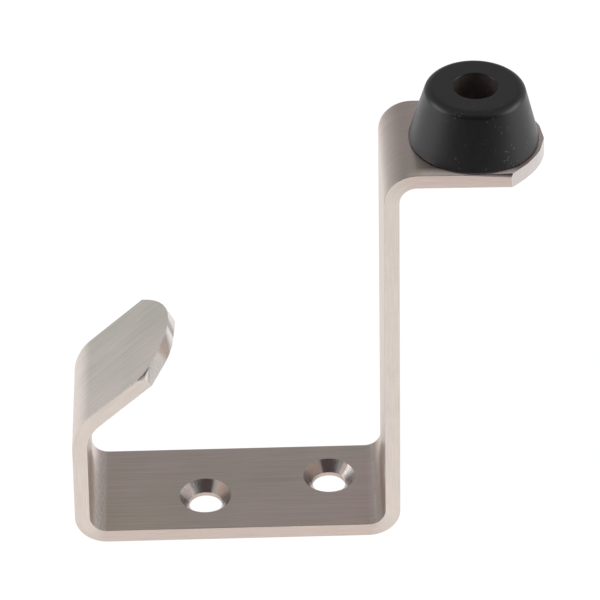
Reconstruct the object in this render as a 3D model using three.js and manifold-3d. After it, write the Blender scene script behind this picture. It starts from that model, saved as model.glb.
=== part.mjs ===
// Buffered hat and coat hook for a door, lying on its screw plate.
//
// One strip of flat bar is bent into a short hook with a splayed lip, a screw plate with two
// countersunk holes, a tall arm and an outward flange. The flange carries a rubber buffer that
// keeps the hook off the wall when the door swings back.
//
// Millimetres, +Z up. The origin is the middle of the screw plate's back face, +X runs from the
// hook towards the arm, and Y runs across the strip.

import * as THREE from 'three';
import { mergeVertices } from 'three/addons/utils/BufferGeometryUtils.js';
import Module from 'manifold-3d';

// ---- Driving dimensions -----------------------------------------------------------------------

// Flat bar
const STRIP_WIDTH = 25;
const STRIP_THICKNESS = 3;
const BEND_RADIUS = 3.4; // inside radius of the three tight bends
const LIP_BEND_RADIUS = 8.5; // inside radius of the easier bend at the lip

// Lengths run between the theoretical corners of the strip's back face
const PLATE_LENGTH = 65.8;
const WALL_HEIGHT = 29.15;
const LIP_LENGTH = 26.4;
const ARM_HEIGHT = 86.6;
const FLANGE_LENGTH = 28.3;

// Angles of the bent legs, in degrees
const WALL_LEAN = 0.84; // short wall, towards the arm
const LIP_RISE = 43.1; // lip, above the plate's plane
const ARM_LEAN = 0.46; // tall arm, towards the hook
const FLANGE_DROOP = 0.62; // flange, below level at its tip

// Rounded ends: how far the middle stands proud of the two corners
const LIP_END_RISE = 6.4;
const FLANGE_END_RISE = 7;

// Screw plate holes, for countersunk wood screws
const PLATE_HOLES = [
  { x: -6.5, y: -2.3 },
  { x: 18.9, y: 3.1 },
];
const HOLE_DIAMETER = 6.8;
const COUNTERSINK_DIAMETER = 10.6;
const HOLE_LAND = 1; // straight wall left under the countersink

// Buffer and what holds it; heights are above the flange's upper face
const BUFFER_OFFSET = 14.7; // from the arm's outer face
const BUFFER_BASE_DIAMETER = 25;
const BUFFER_TOP_DIAMETER = 19; // before the top edge is rounded
const BUFFER_TOP = 11.8;
const BUFFER_TOP_ROUNDING = 1.7;
const BUFFER_BASE_CHAMFER = 0.5;
const BUFFER_BORE_DIAMETER = 8.5;
const BUFFER_SEAT = 1.6; // floor of the bore, where the washer bears

const SCREW_DIAMETER = 3.9; // M4
const SCREW_HEAD_DIAMETER = 7.8;
const SCREW_HEAD_HEIGHT = 2.4;
const SCREW_HEAD_ROUNDING = 1.1;
const SCREW_LENGTH = 12; // below the head
const SCREW_TIP_CHAMFER = 0.6;
const SLOT_WIDTH = 1.2;
const SLOT_DEPTH = 1;
const CLEARANCE_HOLE_DIAMETER = 4.6;
const SEAT_WASHER_DIAMETER = 7.9;
const SEAT_WASHER_THICKNESS = 0.5;
const LOCK_WASHER_DIAMETER = 7.6;
const LOCK_WASHER_THICKNESS = 0.9;
const LOCK_WASHER_SPLIT = 0.8;
const NUT_ACROSS_FLATS = 7;
const NUT_HEIGHT = 3.2;
const NUT_CHAMFER = 0.45;

const CONTACT_GAP = 0.3; // between pieces that bear on each other
const CUT_MARGIN = 1; // how far a cutting tool runs past the metal

// Facets
const BEND_STEP = 7.5; // degrees of bend in one facet
const END_STEPS = 24;
const BUFFER_FACETS = 64;
const HARDWARE_FACETS = 36;

// ---- Solids -----------------------------------------------------------------------------------

const wasm = await Module();
wasm.setup();

/** A closed three.js geometry as a solid that can be cut or joined. */
function solid(geometry) {
  const bare = geometry.clone();
  bare.deleteAttribute('normal');
  bare.deleteAttribute('uv');
  const merged = mergeVertices(bare);
  const index = merged.index.array;
  const triangles = [];
  for (let i = 0; i < index.length; i += 3) {
    const [a, b, c] = index.slice(i, i + 3);
    if (a !== b && b !== c && c !== a) triangles.push(a, b, c);
  }
  return new wasm.Manifold(new wasm.Mesh({
    numProp: 3,
    vertProperties: new Float32Array(merged.attributes.position.array),
    triVerts: new Uint32Array(triangles),
  }));
}

/** A named mesh of a finished solid. */
function mesh(name, body, material) {
  const { vertProperties, triVerts } = body.getMesh();
  const geometry = new THREE.BufferGeometry();
  geometry.setAttribute('position', new THREE.BufferAttribute(new Float32Array(vertProperties), 3));
  geometry.setIndex(new THREE.BufferAttribute(new Uint32Array(triVerts), 1));
  geometry.computeVertexNormals();
  const part = new THREE.Mesh(geometry, material);
  part.name = name;
  return part;
}

/** A solid of revolution about Z, from [radius, height] pairs that run up the outside. */
function turned(outline, facets) {
  const profile = outline.map(([radius, height]) => new THREE.Vector2(radius, height));
  return solid(new THREE.LatheGeometry(profile, facets).rotateX(Math.PI / 2));
}

/** A flat outline in X and Y, raised from one height to another. */
function raised(shape, low, high) {
  const geometry = new THREE.ExtrudeGeometry(shape, {
    depth: high - low,
    bevelEnabled: false,
    curveSegments: END_STEPS,
  });
  return solid(geometry.translate(0, 0, low));
}

/** Points of an arc as [radius, height] pairs, with angles in degrees. */
function arc([centreRadius, centreHeight], radius, start, end, steps = 5) {
  return Array.from({ length: steps + 1 }, (_, i) => {
    const angle = THREE.MathUtils.degToRad(start + ((end - start) * i) / steps);
    return [centreRadius + radius * Math.cos(angle), centreHeight + radius * Math.sin(angle)];
  });
}

// ---- The bent strip ---------------------------------------------------------------------------

/** Unit direction in the side view (X, Z), at an angle above +X in degrees. */
function heading(degrees) {
  const angle = THREE.MathUtils.degToRad(degrees);
  return new THREE.Vector2(Math.cos(angle), Math.sin(angle));
}

/** Left-hand normal of a direction in the side view. */
function leftOf(direction) {
  return new THREE.Vector2(-direction.y, direction.x);
}

/** Theoretical corners of the back face, seen from the side. */
function backFaceCorners() {
  const wallFoot = new THREE.Vector2(-PLATE_LENGTH / 2, 0);
  const armFoot = new THREE.Vector2(PLATE_LENGTH / 2, 0);
  const lip = wallFoot.clone().addScaledVector(heading(90 - WALL_LEAN), WALL_HEIGHT);
  const flange = armFoot.clone().addScaledVector(heading(90 + ARM_LEAN), ARM_HEIGHT);
  return { lip, wallFoot, armFoot, flange };
}

/** Where the flat legs of the strip end, with each end's direction. */
function stripEnds() {
  const corners = backFaceCorners();
  return {
    lip: { corner: corners.lip, along: heading(LIP_RISE), length: LIP_LENGTH, rise: LIP_END_RISE },
    flange: {
      corner: corners.flange,
      along: heading(-FLANGE_DROOP),
      length: FLANGE_LENGTH,
      rise: FLANGE_END_RISE,
    },
  };
}

/** Back and front points of the strip round one bend, and the order they are met in. */
function bendPoints(before, corner, after, insideRadius) {
  const incoming = corner.clone().sub(before).normalize();
  const outgoing = after.clone().sub(corner).normalize();
  const turn = Math.atan2(incoming.cross(outgoing), incoming.dot(outgoing));
  const backRadius = turn > 0 ? insideRadius + STRIP_THICKNESS : -insideRadius;
  const setback = Math.abs(backRadius * Math.tan(turn / 2));
  const centre = corner.clone()
    .addScaledVector(incoming, -setback)
    .addScaledVector(leftOf(incoming), backRadius);
  const steps = Math.ceil(THREE.MathUtils.radToDeg(Math.abs(turn)) / BEND_STEP);
  const points = { back: [], front: [] };
  for (let i = 0; i <= steps; i += 1) {
    const normal = leftOf(incoming).rotateAround(new THREE.Vector2(), (turn * i) / steps);
    const back = centre.clone().addScaledVector(normal, -backRadius);
    points.back.push(back);
    points.front.push(back.clone().addScaledVector(normal, STRIP_THICKNESS));
  }
  return points;
}

/** The strip's side outline, from the lip's tip to the flange's tip. */
function stripOutline() {
  const { lip, wallFoot, armFoot, flange } = backFaceCorners();
  const ends = stripEnds();
  const tipOf = ({ corner, along, length }) => (
    corner.clone().addScaledVector(along, length + CUT_MARGIN)
  );
  const lipTip = tipOf(ends.lip);
  const flangeTip = tipOf(ends.flange);
  const lipNormal = leftOf(ends.lip.along).negate();
  const flangeNormal = leftOf(ends.flange.along);
  const back = [lipTip];
  const front = [lipTip.clone().addScaledVector(lipNormal, STRIP_THICKNESS)];
  const bends = [
    bendPoints(lipTip, lip, wallFoot, LIP_BEND_RADIUS),
    bendPoints(lip, wallFoot, armFoot, BEND_RADIUS),
    bendPoints(wallFoot, armFoot, flange, BEND_RADIUS),
    bendPoints(armFoot, flange, flangeTip, BEND_RADIUS),
  ];
  for (const bend of bends) {
    back.push(...bend.back);
    front.push(...bend.front);
  }
  back.push(flangeTip);
  front.push(flangeTip.clone().addScaledVector(flangeNormal, STRIP_THICKNESS));
  return new THREE.Shape([...back, ...front.reverse()]);
}

/** A leg's own frame: X along the leg, Y across the strip, Z off its back or front face. */
function legFrame({ corner, along }) {
  const direction = new THREE.Vector3(along.x, 0, along.y);
  const across = new THREE.Vector3(0, 1, 0);
  const normal = new THREE.Vector3().crossVectors(direction, across);
  return new THREE.Matrix4()
    .makeBasis(direction, across, normal)
    .setPosition(corner.x, 0, corner.y);
}

/** What is cut from a square strip end to leave the bowed one. */
function endWaste(end) {
  const half = STRIP_WIDTH / 2 + CUT_MARGIN;
  const rise = end.rise * (half / (STRIP_WIDTH / 2)) ** 2;
  const beyond = end.length + 2 * CUT_MARGIN;
  const shape = new THREE.Shape();
  shape.moveTo(end.length - rise, -half);
  shape.quadraticCurveTo(end.length + rise, 0, end.length - rise, half);
  shape.lineTo(beyond, half);
  shape.lineTo(beyond, -half);
  shape.closePath();
  const reach = STRIP_THICKNESS + CUT_MARGIN;
  return raised(shape, -reach, reach).transform(legFrame(end).elements);
}

/** Cutter for one countersunk hole in the plate. */
function countersinkCutter({ x, y }) {
  const hole = HOLE_DIAMETER / 2;
  const flare = (COUNTERSINK_DIAMETER / 2 - hole) / (STRIP_THICKNESS - HOLE_LAND);
  const top = STRIP_THICKNESS + CUT_MARGIN;
  return turned([
    [0, -CUT_MARGIN],
    [hole, -CUT_MARGIN],
    [hole, HOLE_LAND],
    [hole + flare * (top - HOLE_LAND), top],
    [0, top],
  ], HARDWARE_FACETS).translate([x, y, 0]);
}

function hookBracket() {
  const bar = new THREE.ExtrudeGeometry(stripOutline(), { depth: STRIP_WIDTH, bevelEnabled: false })
    .rotateX(Math.PI / 2)
    .translate(0, STRIP_WIDTH / 2, 0);
  const ends = stripEnds();
  const bufferHole = turned([
    [0, -CUT_MARGIN],
    [CLEARANCE_HOLE_DIAMETER / 2, -CUT_MARGIN],
    [CLEARANCE_HOLE_DIAMETER / 2, STRIP_THICKNESS + CUT_MARGIN],
    [0, STRIP_THICKNESS + CUT_MARGIN],
  ], HARDWARE_FACETS)
    .translate([BUFFER_OFFSET, 0, 0])
    .transform(legFrame(ends.flange).elements);
  return [endWaste(ends.lip), endWaste(ends.flange), bufferHole, ...PLATE_HOLES.map(countersinkCutter)]
    .reduce((metal, cutter) => metal.subtract(cutter), solid(bar));
}

// ---- The buffer and its fixing, on the buffer's axis ------------------------------------------

const CLEARANCE = CLEARANCE_HOLE_DIAMETER / 2;
const WASHER_UNDERSIDE = BUFFER_SEAT + CONTACT_GAP;
const HEAD_UNDERSIDE = WASHER_UNDERSIDE + SEAT_WASHER_THICKNESS + CONTACT_GAP;
const LOCK_WASHER_TOP = -STRIP_THICKNESS - CONTACT_GAP;
const NUT_TOP = LOCK_WASHER_TOP - LOCK_WASHER_THICKNESS - CONTACT_GAP;

function rubberBuffer() {
  const base = BUFFER_BASE_DIAMETER / 2;
  const top = BUFFER_TOP_DIAMETER / 2;
  const bore = BUFFER_BORE_DIAMETER / 2;
  const foot = CONTACT_GAP;
  const shoulder = BUFFER_BASE_CHAMFER + foot;
  const taper = THREE.MathUtils.radToDeg(Math.atan2(base - top, BUFFER_TOP - shoulder));
  const inset = BUFFER_TOP_ROUNDING * Math.tan(THREE.MathUtils.degToRad((90 - taper) / 2));
  const crown = [top - inset, BUFFER_TOP - BUFFER_TOP_ROUNDING];
  return turned([
    [CLEARANCE, foot],
    [base - BUFFER_BASE_CHAMFER, foot],
    [base, shoulder],
    ...arc(crown, BUFFER_TOP_ROUNDING, taper, 90),
    [bore, BUFFER_TOP],
    [bore, BUFFER_SEAT],
    [CLEARANCE, BUFFER_SEAT],
    [CLEARANCE, foot],
  ], BUFFER_FACETS);
}

/** A flat ring about the buffer's axis. */
function ring(diameter, low, high) {
  return turned([
    [CLEARANCE, low],
    [diameter / 2, low],
    [diameter / 2, high],
    [CLEARANCE, high],
    [CLEARANCE, low],
  ], HARDWARE_FACETS);
}

function seatWasher() {
  return ring(SEAT_WASHER_DIAMETER, WASHER_UNDERSIDE, WASHER_UNDERSIDE + SEAT_WASHER_THICKNESS);
}

function fixingScrew() {
  const shank = SCREW_DIAMETER / 2;
  const head = SCREW_HEAD_DIAMETER / 2;
  const tip = HEAD_UNDERSIDE - SCREW_LENGTH;
  const crown = HEAD_UNDERSIDE + SCREW_HEAD_HEIGHT;
  const blank = turned([
    [0, tip],
    [shank - SCREW_TIP_CHAMFER, tip],
    [shank, tip + SCREW_TIP_CHAMFER],
    [shank, HEAD_UNDERSIDE],
    [head, HEAD_UNDERSIDE],
    ...arc([head - SCREW_HEAD_ROUNDING, crown - SCREW_HEAD_ROUNDING], SCREW_HEAD_ROUNDING, 0, 90),
    [0, crown],
  ], HARDWARE_FACETS);
  const slot = new THREE.BoxGeometry(SCREW_HEAD_DIAMETER + CUT_MARGIN, SLOT_WIDTH, 2 * SLOT_DEPTH)
    .translate(0, 0, crown);
  return blank.subtract(solid(slot));
}

function lockWasher() {
  const split = new THREE.BoxGeometry(LOCK_WASHER_DIAMETER, LOCK_WASHER_SPLIT, 2 * LOCK_WASHER_THICKNESS)
    .translate(LOCK_WASHER_DIAMETER / 2, 0, LOCK_WASHER_TOP - LOCK_WASHER_THICKNESS / 2);
  return ring(LOCK_WASHER_DIAMETER, LOCK_WASHER_TOP - LOCK_WASHER_THICKNESS, LOCK_WASHER_TOP)
    .subtract(solid(split));
}

function hexNut() {
  const bottom = NUT_TOP - NUT_HEIGHT;
  const corner = NUT_ACROSS_FLATS / Math.sqrt(3);
  const hexagon = new THREE.CylinderGeometry(corner, corner, NUT_HEIGHT, 6)
    .rotateX(Math.PI / 2)
    .translate(0, 0, NUT_TOP - NUT_HEIGHT / 2);
  const facing = NUT_ACROSS_FLATS / 2;
  const chamfered = turned([
    [CLEARANCE, bottom],
    [facing, bottom],
    [facing + NUT_CHAMFER * 2, bottom + NUT_CHAMFER],
    [facing + NUT_CHAMFER * 2, NUT_TOP - NUT_CHAMFER],
    [facing, NUT_TOP],
    [CLEARANCE, NUT_TOP],
    [CLEARANCE, bottom],
  ], HARDWARE_FACETS);
  return solid(hexagon).intersect(chamfered);
}

// ---- Scene ------------------------------------------------------------------------------------

const brushedSteel = new THREE.MeshStandardMaterial({
  color: 0x9c948e, roughness: 0.38, metalness: 1, flatShading: true,
});
const blackRubber = new THREE.MeshStandardMaterial({
  color: 0x222122, roughness: 0.62, metalness: 0, flatShading: true,
});
const platedSteel = new THREE.MeshStandardMaterial({
  color: 0xb9bcc0, roughness: 0.3, metalness: 1, flatShading: true,
});

const bufferAxis = new THREE.Group();
const flange = stripEnds().flange;
const bufferFoot = flange.corner.clone()
  .addScaledVector(flange.along, BUFFER_OFFSET)
  .addScaledVector(leftOf(flange.along), STRIP_THICKNESS);
bufferAxis.position.set(bufferFoot.x, 0, bufferFoot.y);
bufferAxis.rotation.y = THREE.MathUtils.degToRad(FLANGE_DROOP);
bufferAxis.add(
  mesh('rubber_buffer', rubberBuffer(), blackRubber),
  mesh('seat_washer', seatWasher(), platedSteel),
  mesh('fixing_screw', fixingScrew(), platedSteel),
  mesh('lock_washer', lockWasher(), platedSteel),
  mesh('hex_nut', hexNut(), platedSteel),
);

const group = new THREE.Group();
group.add(mesh('hook_bracket', hookBracket(), brushedSteel), bufferAxis);

export default group;
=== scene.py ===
"""Buffered hat and coat hook for a door: bent flat bar, rubber buffer and its fixing, on a pale floor."""

import math
from collections import namedtuple

import bmesh
import bpy
from bpy.props import FloatProperty, FloatVectorProperty, IntProperty, PointerProperty
from mathutils import Matrix, Vector


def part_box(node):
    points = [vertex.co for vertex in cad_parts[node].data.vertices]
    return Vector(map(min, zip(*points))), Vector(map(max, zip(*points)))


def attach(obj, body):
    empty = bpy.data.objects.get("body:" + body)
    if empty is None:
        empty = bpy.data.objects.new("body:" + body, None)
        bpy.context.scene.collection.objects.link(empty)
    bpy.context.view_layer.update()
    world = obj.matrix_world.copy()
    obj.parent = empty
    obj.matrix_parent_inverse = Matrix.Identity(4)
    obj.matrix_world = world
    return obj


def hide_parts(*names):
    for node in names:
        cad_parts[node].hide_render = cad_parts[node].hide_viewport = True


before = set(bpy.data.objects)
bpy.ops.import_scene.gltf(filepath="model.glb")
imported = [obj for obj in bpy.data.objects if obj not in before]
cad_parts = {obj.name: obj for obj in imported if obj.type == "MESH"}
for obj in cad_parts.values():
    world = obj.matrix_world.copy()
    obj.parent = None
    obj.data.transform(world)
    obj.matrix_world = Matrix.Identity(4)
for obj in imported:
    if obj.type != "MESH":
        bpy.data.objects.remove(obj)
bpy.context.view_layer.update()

bl_info = {
    "name": "Buffered door hook",
    "version": (1, 0, 0),
    "blender": (4, 5, 0),
    "location": "View3D > Sidebar > Hook",
    "description": "Makes a bent flat-bar door hook with a rubber buffer, and a plain stage for it",
    "category": "Object",
}

MM = 0.001
BODY = "root"


# ---- Sizes and colours that a user would change -------------------------------------------------

def length(name, default, description):
    """A length property, with its default in millimetres."""
    return FloatProperty(name=name, description=description, default=default * MM, unit="LENGTH")


def angle(name, default, description):
    """An angle property, with its default in degrees."""
    return FloatProperty(name=name, description=description, default=math.radians(default), unit="ROTATION")


def colour(name, default, description):
    """A linear colour property."""
    return FloatVectorProperty(
        name=name, description=description, default=default, subtype="COLOR", size=3, min=0, max=1
    )


class HookStripSettings(bpy.types.PropertyGroup):
    thickness: length("Thickness", 3, "Thickness of the flat bar")
    bend_radius: length("Bend radius", 3.4, "Inside radius of the three tight bends")
    lip_bend_radius: length("Lip bend radius", 8.5, "Inside radius of the bend at the lip")
    plate_length: length("Plate length", 65.8, "Between the two lower corners of the back face")
    wall_height: length("Wall height", 29.15, "From the lower corner to the lip's corner")
    lip_length: length("Lip length", 26.4, "From the lip's corner to the middle of its tip")
    arm_height: length("Arm height", 86.6, "From the lower corner to the flange's corner")
    flange_length: length("Flange length", 28.3, "From the flange's corner to the middle of its tip")
    wall_lean: angle("Wall lean", 0.84, "Lean of the short wall towards the arm")
    lip_rise: angle("Lip rise", 43.1, "Slope of the lip above the plate")
    arm_lean: angle("Arm lean", 0.46, "Lean of the tall arm towards the hook")
    flange_droop: angle("Flange droop", 0.62, "Slope of the flange below level")
    edge_rounding: length("Edge rounding", 0.12, "Rounding of the bar's long edges")
    hole_diameter: length("Hole diameter", 6.8, "Screw holes in the plate")
    countersink_diameter: length("Countersink", 10.5, "Mouth of each countersink")
    hole_land: length("Hole land", 0.9, "Straight wall left under the countersink")
    bend_cuts: IntProperty(name="Bend cuts", description="Facets in each bend", default=16, min=4)


class HookBufferSettings(bpy.types.PropertyGroup):
    offset: length("Offset", 14.7, "From the arm's outer face to the buffer's axis")
    base_diameter: length("Base", 25.1, "Widest diameter, at the flange")
    top_diameter: length("Top", 18.75, "Diameter at the top before its edge is rounded")
    height: length("Height", 11.8, "Top above the flange")
    lift: length("Lift", 0.12, "Shadow gap left between buffer and flange")
    top_rounding: length("Top rounding", 1.7, "Radius of the top's outer edge")
    base_rounding: length("Base rounding", 0.3, "Radius of the base's edge")
    bore_diameter: length("Bore", 8.5, "Round bore that takes the screw head")
    bore_floor: length("Bore floor", 1.6, "Rubber left under the bore")


class HookFixingSettings(bpy.types.PropertyGroup):
    screw_diameter: length("Screw diameter", 3.9, "Outside diameter of the thread")
    pitch: length("Pitch", 0.7, "Rise of the thread in one turn")
    screw_length: length("Screw length", 12, "Below the head")
    head_diameter: length("Head diameter", 7.8, "Pan head")
    head_height: length("Head height", 2.4, "Pan head")
    slot_width: length("Slot width", 1.2, "Screwdriver slot")
    slot_depth: length("Slot depth", 1, "Screwdriver slot")
    washer_diameter: length("Washer", 7.9, "Plain washer in the buffer's bore")
    washer_thickness: length("Washer thickness", 0.5, "Plain washer")
    lock_diameter: length("Lock washer", 7.6, "Split washer under the flange")
    lock_thickness: length("Lock thickness", 0.9, "Split washer")
    nut_across_flats: length("Nut", 7, "Across flats")
    nut_height: length("Nut height", 3.2, "Hexagon nut")
    clearance_hole: length("Clearance hole", 4.6, "Through the bar, the buffer and the washers")
    gap: length("Gap", 0.3, "Air kept between pieces that bear on each other")


class HookColourSettings(bpy.types.PropertyGroup):
    steel: colour("Steel", (0.735, 0.64, 0.585), "Brushed faces of the bar")
    steel_edge: colour("Steel edge", (0.71, 0.63, 0.57), "Narrow sides of the bar")
    bright_steel: colour("Bright steel", (0.74, 0.70, 0.67), "Filed ends and fasteners")
    rubber: colour("Rubber", (0.004, 0.0032, 0.0030), "Buffer")
    floor: colour("Floor", (1.0, 1.0, 1.0), "Floor and backdrop")


# ---- Mesh helpers -------------------------------------------------------------------------------

def finished_object(bm, name, materials, smooth_angle=math.radians(32)):
    """A finished piece from a bmesh, smooth but for edges sharper than the angle."""
    for face in bm.faces:
        face.smooth = True
    for edge in bm.edges:
        edge.smooth = not edge.is_manifold or edge.calc_face_angle(0) < smooth_angle
    mesh = bpy.data.meshes.new(name)
    bm.to_mesh(mesh)
    bm.free()
    for material in materials:
        mesh.materials.append(material)
    piece = bpy.data.objects.new(name, mesh)
    bpy.context.scene.collection.objects.link(piece)
    return piece


def flatten_normals(piece):
    """Keeps flat faces looking flat next to their rounded edges."""
    modifier = piece.modifiers.new("Flat faces", "WEIGHTED_NORMAL")
    modifier.keep_sharp = True
    modifier.weight = 80


def temporary_object(bm):
    mesh = bpy.data.meshes.new("temporary")
    bm.to_mesh(mesh)
    bm.free()
    made = bpy.data.objects.new("temporary", mesh)
    bpy.context.scene.collection.objects.link(made)
    return made


def boolean(bm, cutters, operation="DIFFERENCE"):
    """The bmesh after each cutter has been taken away from it, or kept in common with it."""
    target = temporary_object(bm)
    tools = [temporary_object(cutter) for cutter in cutters]
    for tool in tools:
        modifier = target.modifiers.new("cut", "BOOLEAN")
        modifier.operation = operation
        modifier.solver = "EXACT"
        modifier.object = tool
    evaluated = target.evaluated_get(bpy.context.evaluated_depsgraph_get())
    result = bmesh.new()
    result.from_mesh(evaluated.to_mesh())
    evaluated.to_mesh_clear()
    for made in [target, *tools]:
        mesh = made.data
        bpy.data.objects.remove(made)
        bpy.data.meshes.remove(mesh)
    return result


def turned(outline, steps, closed=False):
    """A bmesh of revolution about Z, from (radius, height) pairs; closed joins the last to the first."""
    bm = bmesh.new()
    verts = [bm.verts.new((radius, 0, height)) for radius, height in outline]
    pairs = list(zip(verts, verts[1:]))
    if closed:
        pairs.append((verts[-1], verts[0]))
    edges = [bm.edges.new(pair) for pair in pairs]
    bmesh.ops.spin(
        bm, geom=verts + edges, cent=(0, 0, 0), axis=(0, 0, 1), angle=math.tau, steps=steps, use_merge=True
    )
    bmesh.ops.remove_doubles(bm, verts=bm.verts[:], dist=1e-7)
    bmesh.ops.dissolve_degenerate(bm, edges=bm.edges[:], dist=1e-8)
    bmesh.ops.recalc_face_normals(bm, faces=bm.faces[:])
    return bm


def round_edges(bm, edges, radius, segments=3):
    bmesh.ops.bevel(
        bm, geom=edges, offset=radius, offset_type="OFFSET", segments=segments, profile=0.5,
        affect="EDGES", material=-1, clamp_overlap=True,
    )


def sharp_edges(bm, limit=math.radians(30)):
    return [edge for edge in bm.edges if edge.is_manifold and edge.calc_face_angle(0) > limit]


def edge_place(edge):
    """Radius and height of a turned edge."""
    vert = edge.verts[0].co
    return vert.xy.length, vert.z


def cut_away(bm, point, normal):
    """Grinds away what lies beyond a plane, and closes the flat it leaves."""
    geometry = bm.verts[:] + bm.edges[:] + bm.faces[:]
    cut = bmesh.ops.bisect_plane(bm, geom=geometry, plane_co=point, plane_no=normal, clear_outer=True)
    edges = [item for item in cut["geom_cut"] if isinstance(item, bmesh.types.BMEdge)]
    bmesh.ops.holes_fill(bm, edges=edges)


def file_facet(bm, corner, points, middle):
    """Files away what lies beyond three points, set off from a corner, seen from the bar's middle."""
    a, b, c = (corner + Vector(point) * MM for point in points)
    normal = (b - a).cross(c - a).normalized()
    if normal.dot(middle - a) > 0:
        normal.negate()
    cut_away(bm, a, normal)


# ---- The strip's route, seen from the side ------------------------------------------------------

Leg = namedtuple("Leg", "begin length start heading")
Bend = namedtuple("Bend", "begin length centre normal turn back_radius")
Route = namedtuple("Route", "lip lip_bend wall hook_bend plate arm_bend arm flange_bend flange")


def heading(slope):
    return Vector((math.cos(slope), math.sin(slope)))


def left_of(direction):
    return Vector((-direction.y, direction.x))


def back_face_corners(strip):
    """Theoretical corners of the back face in X and Z, from the lip's tip to the flange's tip."""
    wall_foot = Vector((-strip.plate_length / 2, 0))
    arm_foot = Vector((strip.plate_length / 2, 0))
    lip = wall_foot + heading(math.pi / 2 - strip.wall_lean) * strip.wall_height
    flange = arm_foot + heading(math.pi / 2 + strip.arm_lean) * strip.arm_height
    lip_tip = lip + heading(strip.lip_rise) * strip.lip_length
    flange_tip = flange + heading(-strip.flange_droop) * strip.flange_length
    return [lip_tip, lip, wall_foot, arm_foot, flange, flange_tip]


def strip_route(strip):
    """Straight legs and bends in order, each with the place along the flat bar where it begins."""
    corners = back_face_corners(strip)
    radii = [strip.lip_bend_radius] + [strip.bend_radius] * 3
    route = []
    place, here = 0.0, corners[0]
    for before, corner, after, inside in zip(corners, corners[1:], corners[2:], radii):
        incoming = (corner - before).normalized()
        outgoing = (after - corner).normalized()
        turn = math.atan2(incoming.x * outgoing.y - incoming.y * outgoing.x, incoming.dot(outgoing))
        back_radius = inside + strip.thickness if turn > 0 else -inside
        setback = abs(back_radius * math.tan(turn / 2))
        bend_start = corner - incoming * setback
        leg = Leg(place, (bend_start - here).length, here, incoming)
        centre = bend_start + left_of(incoming) * back_radius
        arc = abs(turn) * (inside + strip.thickness / 2)
        bend = Bend(leg.begin + leg.length, arc, centre, left_of(incoming), turn, back_radius)
        route += [leg, bend]
        place, here = bend.begin + arc, corner + outgoing * setback
    route.append(Leg(place, (corners[-1] - here).length, here, outgoing))
    return Route(*route)


def end_of(part):
    """Where a leg or a bend ends along the flat bar."""
    return part.begin + part.length


def folded(route, along, across, height):
    """Where a point of the flat bar lies once the bar is bent."""
    part = next((part for part in route if along <= end_of(part)), route.flange)
    travel = along - part.begin
    if isinstance(part, Leg):
        point = part.start + part.heading * travel + left_of(part.heading) * height
    else:
        normal = Matrix.Rotation(part.turn * travel / part.length, 2) @ part.normal
        point = part.centre + normal * (height - part.back_radius)
    return Vector((point.x, across, point.y))


# ---- The bracket --------------------------------------------------------------------------------

HOLE_STEPS = 96
MAP_SCALE = 10
BRUSHED, GROUND, TURNED, FILED, HOLE_WALL, EASED = range(6)
PLATE_HOLES = [Vector((-6.5, -2.3)) * MM, Vector((18.9, 3.1)) * MM]

# Each end is ground to a bow by a row of flats. A flat has the place across the bar where it touches
# the bow, in millimetres, and how far it runs back through the bar's thickness, as a slope.
LIP_FLATS = [
    (-10.4, 0.27), (-6.9, 0.22), (-4.7, 0.30), (-3.2, 0.10), (-1.6, 0.44), (0.4, 0.30),
    (2.6, 0.24), (4.6, 0.30), (6.4, 0.22), (8.0, 0.28), (9.6, 0.24), (11.2, 0.30), (12.3, 0.25),
]
LIP_BOW = 0.0460 / MM
LIP_BOW_MIDDLE = -0.3 * MM
LIP_OUTER_REACH = 0.6 * MM
FLANGE_FLATS = [(-12.0 + 1.5 * i, 0.08 + 0.04 * math.sin(2.3 * i)) for i in range(17)]
FLANGE_BOW = 0.0448 / MM

# A filed facet is a plane through three points, in millimetres: the place along the bar, how far in from
# the near side, and the height. The lip's are above the back face, two where its near side meets its
# ground end. The flange's is along its near upper edge, widest at the tip; it counts from where the
# flange begins, and from the upper face.
LIP_CORNER_FACETS = [
    ((8.2, 0, 0), (6.8, 0.33, 0), (6.9, 0, 1.0)),
    ((6.45, 0.28, 0), (4.90, 1.42, 0), (5.62, 0.80, 1.1)),
]
FLANGE_EDGE_FACET = ((8.5, 0, -0.12), (17.8, 0, -0.70), (17.8, 0.34, 0))
LIP_INWARD = 20 * MM
RIM_ROUNDING = 0.07 * MM
RIM_MARGIN = 0.3 * MM
SPARE = 1 * MM


def bow_end(bm, tip, outward, bow, middle, flats):
    """Grinds a square end of the flat bar to a bow, as a row of flats that touch one parabola."""
    for across, slope in flats:
        across *= MM
        reach = bow * (across - middle) ** 2
        cut_away(bm, (tip - outward * reach, across, 0), (outward, 2 * bow * (across - middle), slope))


def countersink_cutter(strip, x, y):
    hole = strip.hole_diameter / 2
    flare = (strip.countersink_diameter / 2 - hole) / (strip.thickness - strip.hole_land)
    top = strip.thickness + SPARE
    bm = turned([
        (0, -SPARE),
        (hole, -SPARE),
        (hole, strip.hole_land),
        (hole + flare * (top - strip.hole_land), top),
        (0, top),
    ], HOLE_STEPS)
    bmesh.ops.translate(bm, verts=bm.verts[:], vec=(x, y, 0))
    return bm


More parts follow.
